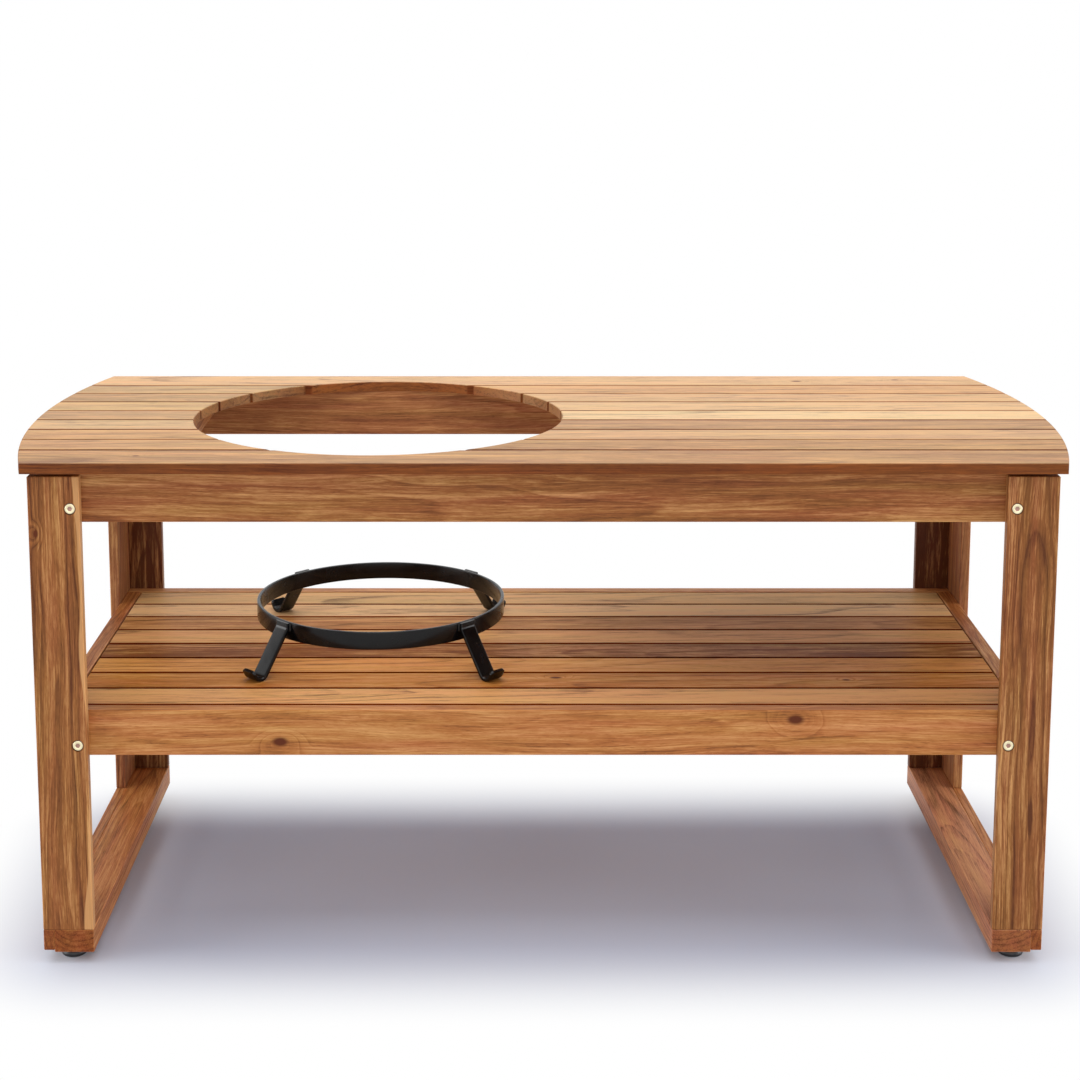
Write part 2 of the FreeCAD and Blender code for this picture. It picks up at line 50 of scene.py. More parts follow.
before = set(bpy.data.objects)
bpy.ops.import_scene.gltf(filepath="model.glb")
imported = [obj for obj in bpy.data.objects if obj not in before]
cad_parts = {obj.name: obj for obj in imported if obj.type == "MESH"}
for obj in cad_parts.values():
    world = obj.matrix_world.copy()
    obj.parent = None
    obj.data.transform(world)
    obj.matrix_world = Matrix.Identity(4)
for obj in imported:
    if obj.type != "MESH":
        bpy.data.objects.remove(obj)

MM = 0.001

# Boxes from the frame, and the names of its corners
BOLT_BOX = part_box("joint_bolts")
NUT_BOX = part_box("sleeve_nuts")
INSERT_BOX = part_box("foot_inserts")
RING_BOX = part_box("cradle_ring")
CORNERS = [(end, side) for end in ("front", "back") for side in ("left", "right")]

# Socket bolts and sleeve nuts, in millimetres
HEAD_RADIUS = 7.25
HEAD_HEIGHT = 2.5
SHANK_LENGTH = 28.0
SOCKET_WIDTH = 5.0
FLANGE_HEIGHT = 1.5
BARREL_LENGTH = 14.0
# Points round a bolt or a nut, a multiple of six for the sockets
HEAD_COLUMNS = 72

# Middle to middle of the slats in millimetres, and how many slats a batten is screwed to
SLAT_ROWS = {"top": (69.0, 7), "shelf": (68.5, 8)}

# Levelling feet and their inserts, in millimetres
PAD_HEIGHT = 17.0
STEM_RADIUS = 4.0
THREAD_DEPTH = 0.55
INSERT_LENGTH = 27.0

# Cradle, in millimetres
STRAP_WIDTH = 27.0
STRAP_THICKNESS = 5.0
BEND_RADIUS = 10.5
TOE_CORNER = 5.0
# Middle line of a strap leg before its bends are rounded: out from the ring's middle, and up from the shelf
STRAP_LINE = ((189.8, 76.0), (189.8, 67.32), (233.62, 2.5), (246.26, 2.5), (253.56, 17.12))

# Viewpoint of the photograph: just left of the middle, a little under twice the table's height
CAMERA_PLACE = (-0.0333, -2.9885, 1.3264)
CAMERA_PITCH = 8.75
CAMERA_LENS = 67.7
CAMERA_SHIFT = (0.0195, -0.205)


def linear(code):
    """Linear RGBA from an sRGB hex code: c / 12.92 below 0.04045, else ((c + 0.055) / 1.055) ^ 2.4."""
    shares = [int(code[i:i + 2], 16) / 255 for i in (1, 3, 5)]
    return tuple(c / 12.92 if c <= 0.04045 else ((c + 0.055) / 1.055) ** 2.4 for c in shares) + (1.0,)


def blend_colour(first, second, share):
    """Colour that lies a share of the way from the first to the second."""
    return tuple(a + (b - a) * share for a, b in zip(first, second))


def add_node(tree, kind, sockets=None, **settings):
    """Add a shader node: settings are its own attributes, sockets values or (node, output) pairs to link."""
    made = tree.nodes.new("ShaderNode" + kind)
    for name, value in settings.items():
        setattr(made, name, value)
    for name, value in (sockets or {}).items():
        if isinstance(value, tuple) and isinstance(value[0], bpy.types.Node):
            tree.links.new(value[0].outputs[value[1]], made.inputs[name])
        else:
            made.inputs[name].default_value = value
    return made


def new_material(name):
    """A new material without nodes, and the function that adds nodes to it."""
    material = bpy.data.materials.new(name)
    material.use_nodes = True
    material.node_tree.nodes.clear()
    return material, partial(add_node, material.node_tree)


# Wood

@dataclass
class Board:
    """One board: the node it dresses, how its grain runs, its colour and where its pith lies.

    order names the frame's axes along the grain, across the wide face and through the thickness.
    pith is the distance in mm from the board's middle to the tree's centre, across and through.
    slope is how far the rings climb along the board, which draws out the cathedral arches.
    rings is the usual width of a year's growth in mm, and figure how strongly the years show.
    sap is the edge that keeps its sapwood, 1 or -1, and the sapwood's width in mm.
    knots are places along and across the board, each with the knot's size, in mm.
    gaps is how strongly painted shade darkens the gaps before and behind a slat, from 0 to 1; a slat with
    gaps also gets painted shade on its long edges.
    sheen is how much the oil shines: the top is rubbed more often than what lies below it.
    """

    node: str
    order: str
    tone: str
    pith: tuple = (0, 60)
    slope: float = 0.03
    rings: float = 7.0
    figure: float = 1.0
    sap: tuple = None
    knots: tuple = ()
    gaps: tuple = None
    sheen: float = 0.3


def acacia(board, wood, seed):
    """Acacia, cut, sanded and oiled by hand.

    Sawing through the growth rings gives lines that follow the distance from the pith, arches where
    the rings climb along the board and arcs on the end grain. Each year starts pale and ends in a
    dark line. Interlocked fibres give streaks and a soft mottle, and the oil leaves a satin surface that
    darkens the open end grain. A painted highlight pales the arrises; on slats, painted shade darkens
    the long edges and draws a line along each gap.
    """
    material, add = new_material(f"oiled_acacia_{board.node}")
    low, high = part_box(board.node)
    middle = [(a + b) / 2 for a, b in zip(low, high)]
    along, across, through = board.order
    reach = {axis: (b - a) / MM for axis, a, b in zip("XYZ", low, high)}

    # Millimetres from the board's middle, with X along the grain, Y across and Z through the board
    place = add("TexCoord")
    centred = add("Mapping", {"Vector": (place, "Object"), "Location": [-c / MM for c in middle],
                              "Scale": (1 / MM,) * 3})
    split = add("SeparateXYZ", {0: (centred, 0)})
    lined = add("CombineXYZ", {0: (split, along), 1: (split, across), 2: (split, through)})
    own = add("Mapping", {"Vector": (lined, 0), "Location": (seed * 371.0, seed * 53.0, seed * 29.0)})

    # Noises whose cells have a length in mm along, across and through the board
    noises = {}
    for name, size, detail in (("bend", (520, 120, 120), 2.0), ("wave", (150, 16, 16), 2.0),
                               ("mottle", (60, 20, 20), 2.0), ("broad", (380, 40, 40), 1.0),
                               ("drift", (240, 17, 17), 2.0), ("bark", (150, 300, 300), 1.0)):
        scaled = add("VectorMath", {0: (own, 0), 1: size}, operation="DIVIDE")
        noises[name] = add("TexNoise", {"Vector": (scaled, 0), "Scale": 1.0, "Detail": detail})

    # The trunk's slow bends, then the small waves of the grain
    bent = add("VectorMath", {0: (noises["bend"], "Color"), 1: (0, 34, 34), 2: (0, -17, -17)},
               operation="MULTIPLY_ADD")
    waved = add("VectorMath", {0: (noises["wave"], "Color"), 1: (0, 3.4, 3.4),
                               2: (0, -1.7, -1.7)}, operation="MULTIPLY_ADD")
    swayed = add("VectorMath", {0: (bent, 0), 1: (waved, 0)}, operation="ADD")
    grown = add("VectorMath", {0: (lined, 0), 1: (swayed, 0)}, operation="ADD")

    # What follows the grown wood: long bands, long fibres and short ones, drawn up to twice as wide as they
    # are so that they show, and the open ends of the vessels
    for name, size, detail in (("bands", (480, 7.5, 7.5), 2.0),
                               ("fibres", (wood.fibre_length, wood.fibre_width, wood.fibre_width), 3.0),
                               ("short", (14, 1.5, 1.5), 2.0), ("vessels", (10, 1.0, 1.0), 1.0)):
        scaled = add("VectorMath", {0: (grown, 0), 1: size}, operation="DIVIDE")
        noises[name] = add("TexNoise", {"Vector": (scaled, 0), "Scale": 1.0, "Detail": detail,
                                        "Roughness": 0.6})
    pores = add("MapRange", {0: (noises["vessels"], "Fac"), "From Min": 0.60, "From Max": 0.72})

    # Distance from the pith, with the climb along the board and the swelling round each knot
    from_pith = add("VectorMath", {0: (grown, 0), 1: (0, 1, 1),
                                   2: (0, -board.pith[0], -board.pith[1])}, operation="MULTIPLY_ADD")
    radius = add("VectorMath", {0: (from_pith, 0)}, operation="LENGTH")
    field = add("Math", {0: (split, along), 1: board.slope, 2: (radius, "Value")}, operation="MULTIPLY_ADD")
    knots = None
    for at_along, at_across, size in board.knots:
        away = add("VectorMath", {0: (grown, 0), 1: (0.55, 1, 0),
                                  2: (-0.55 * at_along, -at_across, 0)}, operation="MULTIPLY_ADD")
        distance = add("VectorMath", {0: (away, 0)}, operation="LENGTH")
        swell = add("MapRange", {0: (distance, "Value"), "From Max": size * 4.5,
                                 "To Min": size * 3.0, "To Max": 0.0}, interpolation_type="SMOOTHERSTEP")
        field = add("Math", {0: (field, 0), 1: (swell, 0)}, operation="ADD")
        core = add("MapRange", {0: (distance, "Value"), "From Min": size * 0.5, "From Max": size * 1.3,
                                "To Min": 1.0, "To Max": 0.0}, interpolation_type="SMOOTHSTEP")
        knots = add("Math", {0: (knots, 0), 1: (core, 0)}, operation="MAXIMUM") if knots else core

    # Years: a slow change from one to the next, and within each a dark line of its own strength
    years = add("Math", {0: (field, 0), 1: 1 / board.rings}, operation="MULTIPLY")
    decades = add("TexNoise", {"W": (years, 0), "Scale": 0.45, "Detail": 3.0, "Roughness": 0.65},
                  noise_dimensions="1D")
    year = add("Math", {0: (years, 0)}, operation="FLOOR")
    season = add("Math", {0: (years, 0)}, operation="FRACT")
    strength = add("TexWhiteNoise", {"W": (year, 0)}, noise_dimensions="1D")
    line = add("ValToRGB", {"Fac": (season, 0)})
    ends = line.color_ramp.elements
    ends[0].color = ends[1].color = (0, 0, 0, 1)
    for position, value in ((0.45, 0.05), (0.86, 0.8), (0.93, 1.0)):
        ends.new(position).color = (value, value, value, 1)
    lines = add("Math", {0: (line, "Color"), 1: (strength, "Value")}, operation="MULTIPLY")

    # One tone from 0, dark heart, over 0.5, the board's own colour, to 1, pale gold
    tone = None
    for source, socket, share in ((decades, "Fac", 0.85), (lines, 0, -0.36), (noises["broad"], "Fac", 0.40)):
        tone = add("Math", {0: (source, socket), 1: share * board.figure,
                            2: (tone, 0) if tone else 0.5 - 0.56 * board.figure}, operation="MULTIPLY_ADD")
    for source, socket, share in ((noises["bands"], "Fac", 0.80), (noises["fibres"], "Fac", 1.10),
                                  (noises["mottle"], "Fac", 0.30), (noises["short"], "Fac", 0.46),
                                  (pores, 0, -0.16)):
        tone = add("Math", {0: (source, socket), 1: share, 2: (tone, 0)}, operation="MULTIPLY_ADD")
    level = add("Math", {0: (tone, 0), 1: 1.30}, operation="SUBTRACT")
    body = linear(board.tone)
    ramp = add("ValToRGB", {"Fac": (level, 0)})
    stops = ramp.color_ramp.elements
    stops[0].color = blend_colour(body, wood.heart, 0.85)
    stops[1].color = blend_colour(body, wood.gold, 0.75)
    for position, colour in ((0.27, blend_colour(body, wood.heart, 0.42)), (0.5, body),
                             (0.73, blend_colour(body, wood.gold, 0.34))):
        stops.new(position).color = colour
    # The wood drifts between redder and yellower from streak to streak
    hue = add("MapRange", {0: (noises["drift"], "Fac"), "From Min": 0.3, "From Max": 0.7,
                           "To Min": 0.4915, "To Max": 0.5045})
    coloured = (add("HueSaturation", {"Hue": (hue, 0), "Color": (ramp, "Color")}), 0)

    # Sapwood along one edge of the board, as wide as the wane of the bark left it
    if board.sap:
        side, width = board.sap
        inward = add("Math", {0: (split, across), 1: -side, 2: reach[across] / 2}, operation="MULTIPLY_ADD")
        from_edge = add("Math", {0: (noises["bark"], "Fac"), 1: -width * 5, 2: (inward, 0)},
                        operation="MULTIPLY_ADD")
        share = add("MapRange", {0: (from_edge, 0), "From Min": -width * 1.6, "From Max": -width * 1.2,
                                 "To Min": 0.75, "To Max": 0.0}, interpolation_type="SMOOTHSTEP")
        coloured = (add("Mix", {"Factor": (share, 0), 6: coloured, 7: wood.sap}, data_type="RGBA"), 2)
    if knots:
        coloured = (add("Mix", {"Factor": (knots, 0), 6: coloured, 7: wood.knot}, data_type="RGBA"), 2)

    # End grain drinks more oil, and a painted highlight pales the arrises
    outward = add("VectorMath", {0: (place, "Normal")}, operation="ABSOLUTE")
    facing = add("SeparateXYZ", {0: (outward, 0)})
    end = add("MapRange", {0: (facing, along), "From Min": 0.55, "From Max": 0.9})
    finished = (add("Mix", {"Factor": (end, 0), 6: coloured, 7: linear("#c8ad95")},
                    data_type="RGBA", blend_type="MULTIPLY"), 2)
    if not board.gaps:
        arris = add("Math", {0: (facing, across), 1: (facing, through)}, operation="MULTIPLY")
        arris_highlight = add("MapRange", {0: (arris, 0), "From Min": 0.1, "From Max": 0.45,
                                 "To Min": 1.0, "To Max": 1.15})
        finished = (add("VectorMath", {0: finished, "Scale": (arris_highlight, 0)}, operation="SCALE"), 0)
    else:
        # Painted shade: the long edges of a slat, which face sideways, are darker than its top face, and the
        # gaps between slats get a red-brown line of painted shade about a millimetre wide.
        edge = add("MapRange", {0: (facing, across), "From Min": 0.55, "From Max": 0.9})
        shaded_edges = add("Mix", {"Factor": (edge, 0), 6: finished, 7: linear("#b58659")},
                   data_type="RGBA", blend_type="MULTIPLY")
        beside = add("Math", {0: (split, across)}, operation="ABSOLUTE")
        close = add("MapRange", {0: (beside, 0), "From Min": reach[across] / 2 - 1.9,
                                 "From Max": reach[across] / 2 - 0.6})
        gap_shade_strength = add("MapRange", {0: (split, across), "From Min": -1.0, "From Max": 1.0,
                                  "To Min": board.gaps[0], "To Max": board.gaps[1]})
        painted_gap_shade = add("Math", {0: (close, 0), 1: (gap_shade_strength, 0)}, operation="MULTIPLY")
        finished = (add("Mix", {"Factor": (painted_gap_shade, 0), 6: (shaded_edges, 2), 7: linear("#a05a34")},
                        data_type="RGBA", blend_type="MULTIPLY"), 2)

    gloss = add("MapRange", {0: (noises["fibres"], "Fac"), "From Min": 0.3, "From Max": 0.7,
                             "To Min": wood.roughness + 0.08, "To Max": wood.roughness - 0.05})
    # The painted gap shade also raises the roughness there
    if board.gaps:
        gloss = add("Math", {0: (painted_gap_shade, 0), 1: 0.6, 2: (gloss, 0)}, operation="MULTIPLY_ADD")
    bump = add("Bump", {"Height": (level, 0), "Strength": 0.35, "Distance": 0.3 * MM})
    shader = add("BsdfPrincipled", {"Base Color": finished, "Roughness": (gloss, 0),
                                    "Normal": (bump, "Normal"), "IOR": 1.32,
                                    "Specular IOR Level": board.sheen})
    add("OutputMaterial", {"Surface": (shader, "BSDF")})
    return material


def top_boards():
    """Boards of the top, front row to back row, with the battens that carry them."""
    left_tones = ("#ab8255", "#b28858", "#b7966a", "#a27f57", "#b59362", "#a17d54", "#ac8b5e")
    right_tones = ("#9c754a", "#b38d63", "#9c764f", "#ceae7e", "#c39e70", "#bb9568", "#bd905f")
    # How strongly painted shade darkens each gap: some show a clear dark line and others almost none
    gaps = (1.0, 0.35, 0.9, 0.8, 0.4, 0.7, 0.4, 0.55)
    boards = [Board("top_front_slat", "XYZ", "#9d754b", pith=(-30, 70), slope=0.02, gaps=(0.0, gaps[0]),
                    knots=((-556, 4, 3.0),)),
              Board("top_back_slat", "XYZ", "#c49c6e", pith=(18, -80), slope=-0.03, gaps=(gaps[-1], 0.0),
                    knots=((420, -5, 5.0), (583, 6, 3.5)))]
    for number, (left, right, beside) in enumerate(zip(left_tones, right_tones, zip(gaps, gaps[1:])), 1):
        lean = 1 if number % 2 else -1
        boards.append(Board(f"top_left_slat_{number}", "XYZ", left, pith=(22 * lean, 55 + 6 * number),
                            slope=0.04 * lean, gaps=beside))
        boards.append(Board(f"top_right_slat_{number}", "XYZ", right, pith=(-26 * lean, 85 - 5 * number),
                            slope=-0.03 * lean, gaps=beside))
    for board in boards:
        board.sheen = 0.33
        board.figure = 0.75
    for name in ("left", "middle", "right"):
        boards.append(Board(f"top_{name}_batten", "YXZ", "#a06a3f", pith=(14, 40)))
    return boards


def frame_boards():
    """Legs, rails and runners."""
    boards = [
        Board("top_front_rail", "XZY", "#955c2e", pith=(-18, 75), slope=0.02, rings=8.0),
        Board("top_back_rail", "XZY", "#9f663b", pith=(20, 60), slope=-0.02),
        Board("shelf_front_rail", "XZY", "#ac6c36", pith=(12, -90), slope=0.008, rings=8.0, figure=0.85,
              knots=((-364, -16, 6.5), (349, 16, 7.0))),
        Board("shelf_back_rail", "XZY", "#ab7242", pith=(-14, 70), slope=-0.02),
        Board("front_left_leg_face_board", "ZXY", "#925b2d", pith=(-6, 26), slope=0.012, rings=6.0,
              figure=1.25, sap=(1, 5), knots=((245, -28, 3.5),)),
        Board("front_right_leg_face_board", "ZXY", "#8a552a", pith=(6, 30), slope=0.012, rings=5.0,
              figure=1.3),
        # The back legs' face boards are toned much darker than the rest: painted shade for their place under
        # the top
        Board("back_left_leg_face_board", "ZXY", "#623619", pith=(8, -52), slope=0.05, rings=6.5),
        Board("back_right_leg_face_board", "ZXY", "#5f3318", pith=(-10, -48), slope=-0.05, rings=6.5),
        Board("front_left_leg_side_board", "ZYX", "#9a6339", pith=(12, 60)),
        Board("front_right_leg_side_board", "ZYX", "#9f683d", pith=(-14, -64)),
        Board("back_left_leg_side_board", "ZYX", "#8f5935", pith=(-10, 58), knots=((150, 10, 6.0),)),
        Board("back_right_leg_side_board", "ZYX", "#945d38", pith=(9, -61)),
        Board("left_runner", "YXZ", "#ad6c37", pith=(10, 55)),
        Board("right_runner", "YXZ", "#ba7e56", pith=(-12, 58)),
        Board("left_runner_strip", "YZX", "#a86a38", pith=(8, 50)),
        Board("right_runner_strip", "YZX", "#ab6d3b", pith=(-8, 52)),
    ]
    for side in ("left", "right"):
        boards.append(Board(f"top_{side}_end_rail", "YZX", "#9a633a", pith=(16, 62)))
    return boards


def shelf_boards():
    """Slats of the shelf from the front, their end rails and battens."""
    # The slats' own colours, made paler as painted light that makes up for the shade of the top over the
    # shelf
    tones = ("#d29a5e", "#ae6d2a", "#c1823d", "#7a461a", "#c28d56", "#a36e3c", "#d2a774", "#bd9663")
    boards = []
    for number, tone in enumerate(tones, 1):
        lean = 1 if number % 2 else -1
        knots = ((20, 10, 5.0), (439, 4, 3.5)) if number == 2 else ()
        boards.append(Board(f"shelf_slat_{number}", "XYZ", tone, pith=(20 * lean, 50 + 7 * number),
                            slope=0.035 * lean, knots=knots, gaps=(1.0, 1.0), sheen=0.08))
    for side in ("left", "right"):
        boards.append(Board(f"shelf_{side}_end_rail", "YZX", "#9a5c2a", pith=(-15, 65)))
        boards.append(Board(f"shelf_{side}_batten", "YXZ", "#9c683e", pith=(12, 44)))
    return boards


def dress_boards(boards, wood, first_seed):
    """Give each board of the frame its own material, because no two came from the same place in a tree."""
    for seed, board in enumerate(boards, first_seed):
        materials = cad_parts[board.node].data.materials
        materials.clear()
        materials.append(acacia(board, wood, seed))


# Shapes

def in_scene(name, data):
    """A new object of the scene that holds a mesh, a lamp or a camera."""
    made = bpy.data.objects.new(name, data)
    bpy.context.scene.collection.objects.link(made)
    return made


def surface(name, grids, angle=40):
    """A mesh object from grids of points, each rows by columns by XYZ, whose columns wrap round.

    A first or last row that is a single point is closed with a fan, and a last row that repeats the
    first is welded to it, so every surface is closed.
    Faces are turned outwards by the sign of the enclosed volume, the sum of a . (b x c) / 6.
    """
    points, quads, fans = [], [], []
    start = 0
    for grid in grids:
        rows, columns = grid.shape[:2]
        flat = grid.reshape(-1, 3)
        index = np.arange(rows * columns).reshape(rows, columns) + start
        head, tail = (int(np.ptp(grid[row], axis=0).max() < 1e-9) for row in (0, -1))
        body = index[head:rows - tail]
        if np.abs(grid[0] - grid[-1]).max() < 1e-9:
            body[-1] = body[0]
        following = np.roll(body, -1, axis=1)
        faces = np.stack([body[:-1], following[:-1], following[1:], body[1:]], axis=-1).reshape(-1, 4)
        triangles = [np.empty((0, 3), int)]
        for closed, tip, first, second in ((head, index[0, 0], np.roll(body[0], -1), body[0]),
                                           (tail, index[-1, 0], body[-1], np.roll(body[-1], -1))):
            if closed:
                triangles.append(np.stack([np.full(columns, tip), first, second], axis=-1))
        triangles = np.concatenate(triangles)
        solid = np.concatenate([faces[:, [0, 1, 2]], faces[:, [0, 2, 3]], triangles]) - start
        a, b, c = (flat[solid[:, i]] for i in range(3))
        if np.einsum("ij,ij->i", a, np.cross(b, c)).sum() < 0:
            faces = faces[:, ::-1]
            triangles = triangles[:, ::-1]
        points.append(flat)
        quads.append(faces)
        fans.append(triangles)
        start += rows * columns
    quads, fans = np.concatenate(quads), np.concatenate(fans)
    used, numbered = np.unique(np.concatenate([quads.ravel(), fans.ravel()]), return_inverse=True)
    faces = numbered[:quads.size].reshape(-1, 4).tolist() + numbered[quads.size:].reshape(-1, 3).tolist()
    mesh = bpy.data.meshes.new(name)
    mesh.from_pydata(np.concatenate(points)[used].tolist(), [], faces)
    mesh.polygons.foreach_set("use_smooth", np.ones(len(mesh.polygons), bool))
    mesh.set_sharp_from_angle(angle=math.radians(angle))
    mesh.update()
    return in_scene(name, mesh)


def lathe(profile, columns=48):
    """Grid of a profile of (radius, height) rows in mm turned about Z: x = r cos t, y = r sin t, z = h."""
    radius, height = (np.array(profile, float) * MM).T
    turn = np.linspace(0, 2 * math.pi, columns, endpoint=False)
    return np.stack([radius[:, None] * np.cos(turn), radius[:, None] * np.sin(turn),
                     np.repeat(height[:, None], columns, axis=1)], axis=-1)


def arc(middle, radius, start, end, steps):
    """Rows (r, h) on an arc, middle + radius * (cos a, sin a), from one angle to another in degrees."""
    angle = np.radians(np.linspace(start, end, steps))
    return [(middle[0] + radius * c, middle[1] + radius * s) for c, s in zip(np.cos(angle), np.sin(angle))]


def placed(grid, place, facing=(0, 0, 1)):
    """The grid with its Z axis turned to a direction along an axis of the frame, then moved to a place."""
    z = np.array(facing, float)
    x = np.array((0, 0, 1) if abs(z[2]) < 0.5 else (1, 0, 0), float)
    y = np.cross(z, x)
    return grid @ np.stack([x, y, z]) + np.array(place)


def finish_piece(piece, body, material, slot, *nodes):
    """Give a new piece its material, its body and the parts of the frame it stands for."""
    piece.data.materials.append(material)
    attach(piece, body)
    if nodes:
        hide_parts(*nodes)


def socket_head(radius, thickness, rim, depth):
    """Grid of a flat head with a hexagon socket, from the socket's floor up and out to the head's underside.

    A hexagon's radius at angle t is (flats / 2) / cos(t folded to +-30 degrees). Rows inside the
    socket use that radius, and rows on the rim a constant one.
    """
    turn = np.linspace(0, 2 * math.pi, HEAD_COLUMNS, endpoint=False)
    folded = (turn + math.pi / 6) % (math.pi / 3) - math.pi / 6
    flats = SOCKET_WIDTH / 2 / np.cos(folded)
    rows = [(0, -depth - 0.5), (flats * 0.96, -depth), (flats, -depth + 0.15), (flats, -0.8),
            (flats + 1.3, 0.0)]
    rows += arc((radius - rim, -rim), rim, 90, 0, 6) + [(radius, -thickness)]
    radii = np.stack([r + np.zeros(HEAD_COLUMNS) for r, _ in rows]) * MM
    heights = np.array([h for _, h in rows])[:, None] * MM + np.zeros(HEAD_COLUMNS)
    return np.stack([radii * np.cos(turn), radii * np.sin(turn), heights], axis=-1)


def thread(radius, pitch, depth, low, high, columns):
    """Grid of a threaded rod: r = radius - depth * |2 frac(z / pitch - t / 2 pi) - 1|, a helical ridge."""
    rows_per_turn = 8
    height = np.linspace(low, high, int((high - low) / pitch * rows_per_turn) + 1)[:, None]
    turn = np.linspace(0, 2 * math.pi, columns, endpoint=False)
    phase = (height / pitch - turn / (2 * math.pi)) % 1
    radii = radius - depth * np.abs(2 * phase - 1)
    radii[0] = radii[-1] = radius - depth
    return np.stack([radii * np.cos(turn), radii * np.sin(turn), height + np.zeros(columns)], axis=-1) * MM


def joint_places():
    """Middle of each leg joint on the faces of the legs, and the way it faces."""
    x = BOLT_BOX[1].x - HEAD_RADIUS * MM
    heights = (BOLT_BOX[0].z + HEAD_RADIUS * MM, BOLT_BOX[1].z - HEAD_RADIUS * MM)
    return [(side * x, end, height) for end in (-1, 1) for side in (-1, 1) for height in heights]


# Fasteners and cradle

def cross_head(radius, height, depth):
    """Grid of a domed head with a cross recess.

    The dome is height * sqrt(1 - 0.8 (r / R)^2), less a recess that is deepest in the middle and lies
    where |x| or |y| is under half a wing's width.
    """
    half_wing = 0.55
    share = np.concatenate([np.linspace(0, 1, 15), [1.0, 0.0]])[:, None]
    turn = np.linspace(0, 2 * math.pi, 48, endpoint=False)
    r = share * radius
    x = r * np.cos(turn)
    y = r * np.sin(turn)
    dome = height * np.sqrt(1 - 0.8 * share ** 2)
    wing = np.minimum(np.abs(x), np.abs(y))
    inside = np.clip((half_wing - wing) / 0.2, 0, 1) * np.clip((radius * 0.62 - r) / 0.4, 0, 1)
    z = dome - depth * inside * (1 - 0.45 * r / radius)
    z[-2:] = 0.0
    return np.stack([x, y, z], axis=-1) * MM


def rounded_bar(middle, width, height, corner):
    """Closed outline of a bar's section, with its corners rounded by quarter arcs."""
    rows = []
    for x, z, start in ((1, 1, 90), (1, -1, 0), (-1, -1, -90), (-1, 1, -180)):
        at = (middle[0] + x * (width / 2 - corner), middle[1] + z * (height / 2 - corner))
        rows += arc(at, corner, start, start - 90, 6)
    return rows + rows[:1]


def turned_about(grid, turn):
    """The grid turned about Z by an angle."""
    c, s = math.cos(turn), math.sin(turn)
    return grid @ np.array([[c, s, 0], [-s, c, 0], [0, 0, 1]])


def strap():
    """Grid of one leg: a flat bar's rounded section carried along the bent line from ring to toe.

    The bent line is straight runs joined by arcs of one radius, and the bar narrows at the toe
    by the sagitta of its corner arcs.
    """
    corners = np.array(STRAP_LINE)
    path = [corners[0]]
    share = np.linspace(0, 1, 9)[:, None]
    for before, corner, after in zip(corners, corners[1:], corners[2:]):
        arriving = (before - corner) / np.linalg.norm(before - corner)
        leaving = (after - corner) / np.linalg.norm(after - corner)
        half = math.acos(float(arriving @ leaving)) / 2
        halfway = (arriving + leaving) / np.linalg.norm(arriving + leaving)
        centre = corner + halfway * BEND_RADIUS / math.sin(half)
        reach = BEND_RADIUS / math.tan(half)
        chord = corner - centre + reach * (arriving * (1 - share) + leaving * share)
        path += list(centre + chord / np.linalg.norm(chord, axis=1)[:, None] * BEND_RADIUS)
    # The points crowd towards the end of the toe, whose corners are rounded
    toe = corners[-1]
    run = (toe - path[-1]) / np.linalg.norm(toe - path[-1])
    left = np.array([TOE_CORNER, 3.8, 2.7, 1.8, 1.0, 0.5, 0.15, 0.0])[:, None]
    path = np.array(path + list(toe - run * left))
    tangent = np.gradient(path, axis=0)
    tangent /= np.linalg.norm(tangent, axis=1)[:, None]
    normal = np.stack([-tangent[:, 1], tangent[:, 0]], axis=1)
    rest = np.linalg.norm(path - path[-1], axis=1)
    near = np.clip(TOE_CORNER - rest, 0, TOE_CORNER)
    half_width = STRAP_WIDTH / 2 - (TOE_CORNER - np.sqrt(TOE_CORNER ** 2 - near ** 2))
    half_thickness = np.full(len(path), STRAP_THICKNESS / 2)
    # Both ends are eased
    half_thickness[[0, -1]] -= 0.5
    # Section from -1 to 1 either way, to be scaled by the two halves
    section = np.array(rounded_bar((0, 0), 2.0, 2.0, 0.35)[:-1])
    side = section[None, :, 0] * half_width[:, None]
    out = section[None, :, 1] * half_thickness[:, None]
    grid = np.stack([path[:, None, 0] + normal[:, None, 0] * out, side,
                     path[:, None, 1] + normal[:, None, 1] * out], axis=-1)
    caps = np.repeat(grid[[0, -1]].mean(axis=1, keepdims=True), grid.shape[1], axis=1)
    return np.concatenate([caps[:1], grid, caps[1:]]) * MM


def bead(outer, side, size):
    """Grid of a weld bead beside a strap.

    Its radius is size * sqrt(1 - a^8) * (1 + 0.1 |sin 16 a|), with a from -1 to 1 along it.
    """
    standing_out = 0.2
    middle, half_length = 69.0, 5.6
    columns = 16
    along = np.linspace(-1, 1, 41)[:, None]
    turn = np.linspace(0, 2 * math.pi, columns, endpoint=False)
    swell = size * np.sqrt(np.clip(1 - along ** 8, 0, 1)) * (1 + 0.10 * np.abs(np.sin(along * 16)))
    x = outer + standing_out + swell * np.cos(turn) * 0.9
    y = side * (STRAP_WIDTH / 2 + standing_out) + swell * np.sin(turn)
    z = middle + along * half_length + np.zeros(columns)
    return np.stack([x, y, z], axis=-1) * MM


# Metal and nylon

